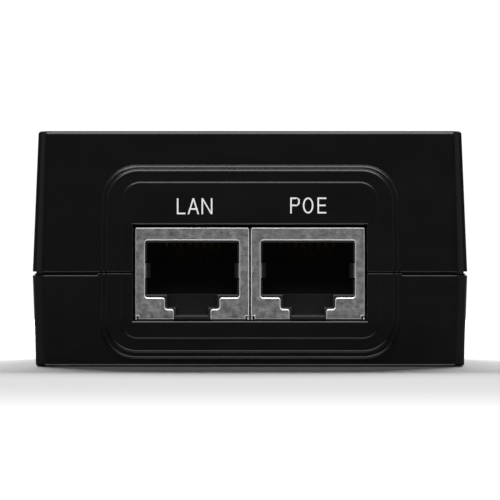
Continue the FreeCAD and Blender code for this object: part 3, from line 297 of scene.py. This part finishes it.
def paper_label(name):
    """A blank silver-grey label: fibrous, slightly mottled and dulled at random."""
    surface = Surface(name, roughness=0.6)
    fibres = surface.noise(0.5, 4.0, place=surface.stretched(1.0, 0.3, 1.0))
    surface.colour(surface.mix(surface.remap(surface.math("ADD", fibres, surface.noise(9.0)),
                                             0.7, 1.3), (0.42, 0.42, 0.43), (0.55, 0.55, 0.55)))
    surface.roughness(fibres, 0.5, 0.7)
    surface.relief(fibres, 0.01, 0.5)
    return surface.material


def wound_wire(name, wire_mm):
    """Enamelled copper wire laid side by side, with painted shade in the grooves between turns.
    """
    surface = Surface(name, metallic=0.9)
    turns = surface.add("ShaderNodeTexWave", wave_type="BANDS", bands_direction="Y")
    turns.inputs["Scale"].default_value = 0.32 / (wire_mm * MM)
    turns.inputs["Distortion"].default_value = 0.6
    surface.join(surface.place, turns.inputs["Vector"])
    varnish = surface.noise(2.0, 4.0)
    lit = surface.mix(surface.remap(varnish, 0.35, 0.7), (0.48, 0.16, 0.05), (0.62, 0.26, 0.09))
    # The near-black colour at the edge of each band is painted shade between the turns; the
    # bumps give the real shape.
    surface.colour(surface.mix(turns.outputs["Fac"], (0.08, 0.02, 0.008), lit))
    surface.roughness(varnish, 0.25, 0.42)
    surface.relief(turns.outputs["Fac"], wire_mm * 0.4, 0.9)
    return surface.material


def sintered(name, dark, light):
    """Ferrite, ceramic or lacquered disc: fine pits over a mottled body."""
    surface = Surface(name, roughness=0.6)
    mottle = surface.noise(1.1, 5.0, 0.65)
    surface.colour(surface.mix(surface.remap(mottle, 0.35, 0.7), dark, light))
    surface.roughness(surface.noise(0.6), 0.5, 0.72)
    surface.soft_edges(0.1)
    surface.relief(surface.cells(0.22), 0.02, 0.6)
    return surface.material


SHIELD_FACE = min(vertex.co.y for vertex in NODES["lan_jack_shield"].data.vertices)


def make_materials():
    """One finished material for each of the record's material slots."""
    return {
        "case_plastic": moulded("case_plastic", (0.0013, 0.0013, 0.0014),
                                (0.0024, 0.0024, 0.0025), 0.21, wear=(0.012, 0.012, 0.0125)),
        "socket_plastic": moulded("socket_plastic", (0.005, 0.005, 0.005),
                                  (0.009, 0.009, 0.009), 0.4, gloss=0.35),
        "shield_steel": tinned_sheet("shield_steel", (0.24, 0.242, 0.24), (0.48, 0.48, 0.475),
                                     0.36, SHIELD_FACE),
        "contact_gold": bright_metal("contact_gold", (0.6, 0.4, 0.14), (0.88, 0.68, 0.32), 0.2),
        "tinned_pins": bright_metal("tinned_pins", (0.5, 0.49, 0.47), (0.78, 0.77, 0.75), 0.22),
        "board_laminate": laminate("board_laminate"),
        "film": moulded("film", (0.5, 0.47, 0.38), (0.62, 0.6, 0.5), 0.4),
        "screw_steel": bright_metal("screw_steel", (0.3, 0.3, 0.29), (0.5, 0.5, 0.5), 0.32),
        "foot_rubber": rubber("foot_rubber"),
        "clear_plastic": clear_plastic("clear_plastic"),
        "label_paper": paper_label("label_paper"),
        "print_ink": printed_ink("print_ink"),
        "component_black": moulded("component_black", (0.008, 0.008, 0.008),
                                   (0.016, 0.016, 0.016), 0.55, 0.09, 0.01),
        "component_blue": sintered("component_blue", (0.01, 0.03, 0.16), (0.02, 0.06, 0.26)),
        "component_yellow": moulded("component_yellow", (0.5, 0.3, 0.02), (0.62, 0.4, 0.04),
                                    0.35),
        "component_green": sintered("component_green", (0.015, 0.09, 0.03),
                                    (0.03, 0.14, 0.05)),
        "ferrite": sintered("ferrite", (0.012, 0.012, 0.013), (0.035, 0.035, 0.038)),
        "copper_wire": wound_wire("copper_wire", 0.5),
        "winding_tape": moulded("winding_tape", (0.55, 0.36, 0.03), (0.7, 0.48, 0.06), 0.25),
        "can_sleeve": moulded("can_sleeve", (0.004, 0.005, 0.012), (0.008, 0.01, 0.02), 0.22),
        "sink_aluminium": bright_metal("sink_aluminium", (0.5, 0.5, 0.51), (0.72, 0.72, 0.73),
                                       0.35),
        "chip_ceramic": sintered("chip_ceramic", (0.16, 0.11, 0.06), (0.3, 0.22, 0.14)),
    }


def dress(materials):
    """Give every CAD node the material of its slot in the record."""
    for row in frame["record"]["subparts"]:
        item = NODES[row["node"]]
        item.data.materials.clear()
        item.data.materials.append(materials[row["material_slot"]])


# ---------------------------------------------------------------- studio

# The floor and the surround are white to the camera ("seen") but throw less light on the gloss
# black plastic ("felt"). Lights: size and location in metres, turn in degrees about X.
FLOOR_RADIUS = 0.78
FLOOR_SIDES = 96
FLOOR_SEEN = ((0.77, 0.77, 0.772), (0.79, 0.79, 0.79))
FLOOR_FELT = (0.1, 0.1, 0.1)
FLOOR_GLOSS = 0.05
SURROUND = {"seen": 1.05, "felt": 0.05}
KEY_LIGHT = {"size": (0.7, 0.7), "radiance": 4.3, "location": (0.0, -0.38, 0.5), "turn": 37.0}
BOUNCE_LIGHT = {"size": (0.5, 0.3), "radiance": 2.2, "location": (0.0, -0.34, -0.3),
                "turn": 132.0}
REAR_LIGHT = {"size": (0.7, 0.7), "radiance": 2.0, "location": (0.0, 0.55, 0.45), "turn": -50.0}
BACK_LIGHT = {"size": (0.5, 0.24), "radiance": 58.0, "location": (0.0, 0.7, 0.34), "turn": -64.0}
FLOOR_WASH = {"power": 45.0, "location": (0.0, -0.7, 0.9), "cone": 66.0}
SIDE_CARD = {"size": 0.8, "away": 0.8, "forward": 0.35, "radiance": 0.25}
CAMERA_DISTANCE = 1.2
FRAME_WIDTH = 65.8 * MM
EYE_HEIGHT = 15.4 * MM


def flat_panel(name, corners):
    """A one-faced mesh that belongs to the studio."""
    mesh = bpy.data.meshes.new(name)
    mesh.from_pydata(corners, [], [tuple(range(len(corners)))])
    panel = bpy.data.objects.new(name, mesh)
    bpy.context.scene.collection.objects.link(panel)
    return panel


def make_floor():
    """A round, plain white floor with a faint sheen. The camera sees it as white paper, but what
    it throws on the glossy plastic is that of a grey one."""
    turn = 2 * math.pi / FLOOR_SIDES
    floor = flat_panel("floor", [(FLOOR_RADIUS * math.cos(turn * step),
                                  FLOOR_RADIUS * math.sin(turn * step), 0.0)
                                 for step in range(FLOOR_SIDES)])
    surface = Surface("floor_white", roughness=0.9)
    surface.shader.inputs["Specular IOR Level"].default_value = 0.0
    seen = surface.add("ShaderNodeLightPath").outputs["Is Camera Ray"]
    paper = surface.mix(surface.noise(400.0), *FLOOR_SEEN)
    surface.colour(surface.mix(seen, FLOOR_FELT, paper))
    sheen = surface.add("ShaderNodeBsdfGlossy")
    sheen.inputs["Roughness"].default_value = 0.05
    blend = surface.add("ShaderNodeMixShader")
    blend.inputs["Fac"].default_value = FLOOR_GLOSS
    surface.join(surface.shader.outputs["BSDF"], blend.inputs[1])
    surface.join(sheen.outputs["BSDF"], blend.inputs[2])
    output = surface.tree.nodes["Material Output"]
    surface.join(blend.outputs["Shader"], output.inputs["Surface"])
    floor.data.materials.append(surface.material)


def make_world():
    """White behind everything, but only a dim grey as light on the object."""
    world = bpy.data.worlds.new("studio")
    world.use_nodes = True
    tree = world.node_tree
    background = tree.nodes["Background"]
    path = tree.nodes.new("ShaderNodeLightPath")
    strength = tree.nodes.new("ShaderNodeMapRange")
    strength.inputs["To Min"].default_value = SURROUND["felt"]
    strength.inputs["To Max"].default_value = SURROUND["seen"]
    tree.links.new(path.outputs["Is Camera Ray"], strength.inputs["Value"])
    tree.links.new(strength.outputs["Result"], background.inputs["Strength"])
    background.inputs["Color"].default_value = (1.0, 1.0, 1.0, 1.0)
    bpy.context.scene.world = world


def lamp_object(light, location, turn):
    """A lamp placed in the scene and tipped about X: 0 degrees shines down, 90 towards +Y."""
    lamp = bpy.data.objects.new(light.name, light)
    lamp.location = location
    lamp.rotation_euler = (math.radians(turn), 0.0, 0.0)
    bpy.context.scene.collection.objects.link(lamp)
    return lamp


def soft_panel(name, size, radiance):
    """A rectangular light of one brightness."""
    light = bpy.data.lights.new(name, "AREA")
    light.shape = "RECTANGLE"
    light.size, light.size_y = size
    light.energy = radiance * math.pi * size[0] * size[1]
    return light


def floor_collection(name, state):
    """The floor as a light-linking collection, to leave it out or to light nothing else."""
    group = bpy.data.collections.new(name)
    group.objects.link(bpy.data.objects["floor"])
    for entry in group.collection_objects:
        entry.light_linking.link_state = state
    return group


def make_lights():
    """Soft lights high in front, low in front and high behind, which only the object feels; a
    low light behind that only the floor feels, and in which the object throws its soft shadow
    forwards; a wash over the floor in front; and a dim card on either side."""
    all_but_floor = floor_collection("all_but_floor", "EXCLUDE")
    for name, setting in (("key", KEY_LIGHT), ("bounce", BOUNCE_LIGHT), ("rear", REAR_LIGHT)):
        lamp = lamp_object(soft_panel(name, setting["size"], setting["radiance"]),
                           setting["location"], setting["turn"])
        lamp.light_linking.receiver_collection = all_but_floor
        lamp.light_linking.blocker_collection = all_but_floor
    back = lamp_object(soft_panel("back", BACK_LIGHT["size"], BACK_LIGHT["radiance"]),
                       BACK_LIGHT["location"], BACK_LIGHT["turn"])
    back.light_linking.receiver_collection = floor_collection("floor_only", "INCLUDE")
    wash = bpy.data.lights.new("wash", "SPOT")
    wash.energy = FLOOR_WASH["power"]
    wash.spot_size = math.radians(FLOOR_WASH["cone"])
    wash.spot_blend = 1.0
    lamp_object(wash, FLOOR_WASH["location"], 0.0)
    for side, word in ((-1, "left"), (1, "right")):
        card = lamp_object(soft_panel(word + "_card", (SIDE_CARD["size"], SIDE_CARD["size"]),
                                      SIDE_CARD["radiance"]),
                           (side * SIDE_CARD["away"], -SIDE_CARD["forward"],
                            SIDE_CARD["size"] / 2), 0.0)
        card.rotation_euler.y = side * math.radians(90.0)


def make_camera():
    """A long lens, level with the middle of the case and square to the front face."""
    data = bpy.data.cameras.new("camera")
    data.lens = data.sensor_width * CAMERA_DISTANCE / FRAME_WIDTH
    data.clip_end = 20.0
    camera = bpy.data.objects.new("camera", data)
    camera.location = (0.0, cad_low.y - CAMERA_DISTANCE, EYE_HEIGHT)
    camera.rotation_euler = (math.radians(90.0), 0.0, 0.0)
    bpy.context.scene.collection.objects.link(camera)
    bpy.context.scene.camera = camera


bpy.context.scene.view_settings.view_transform = "Standard"
dress(make_materials())
make_floor()
make_world()
make_lights()
make_camera()
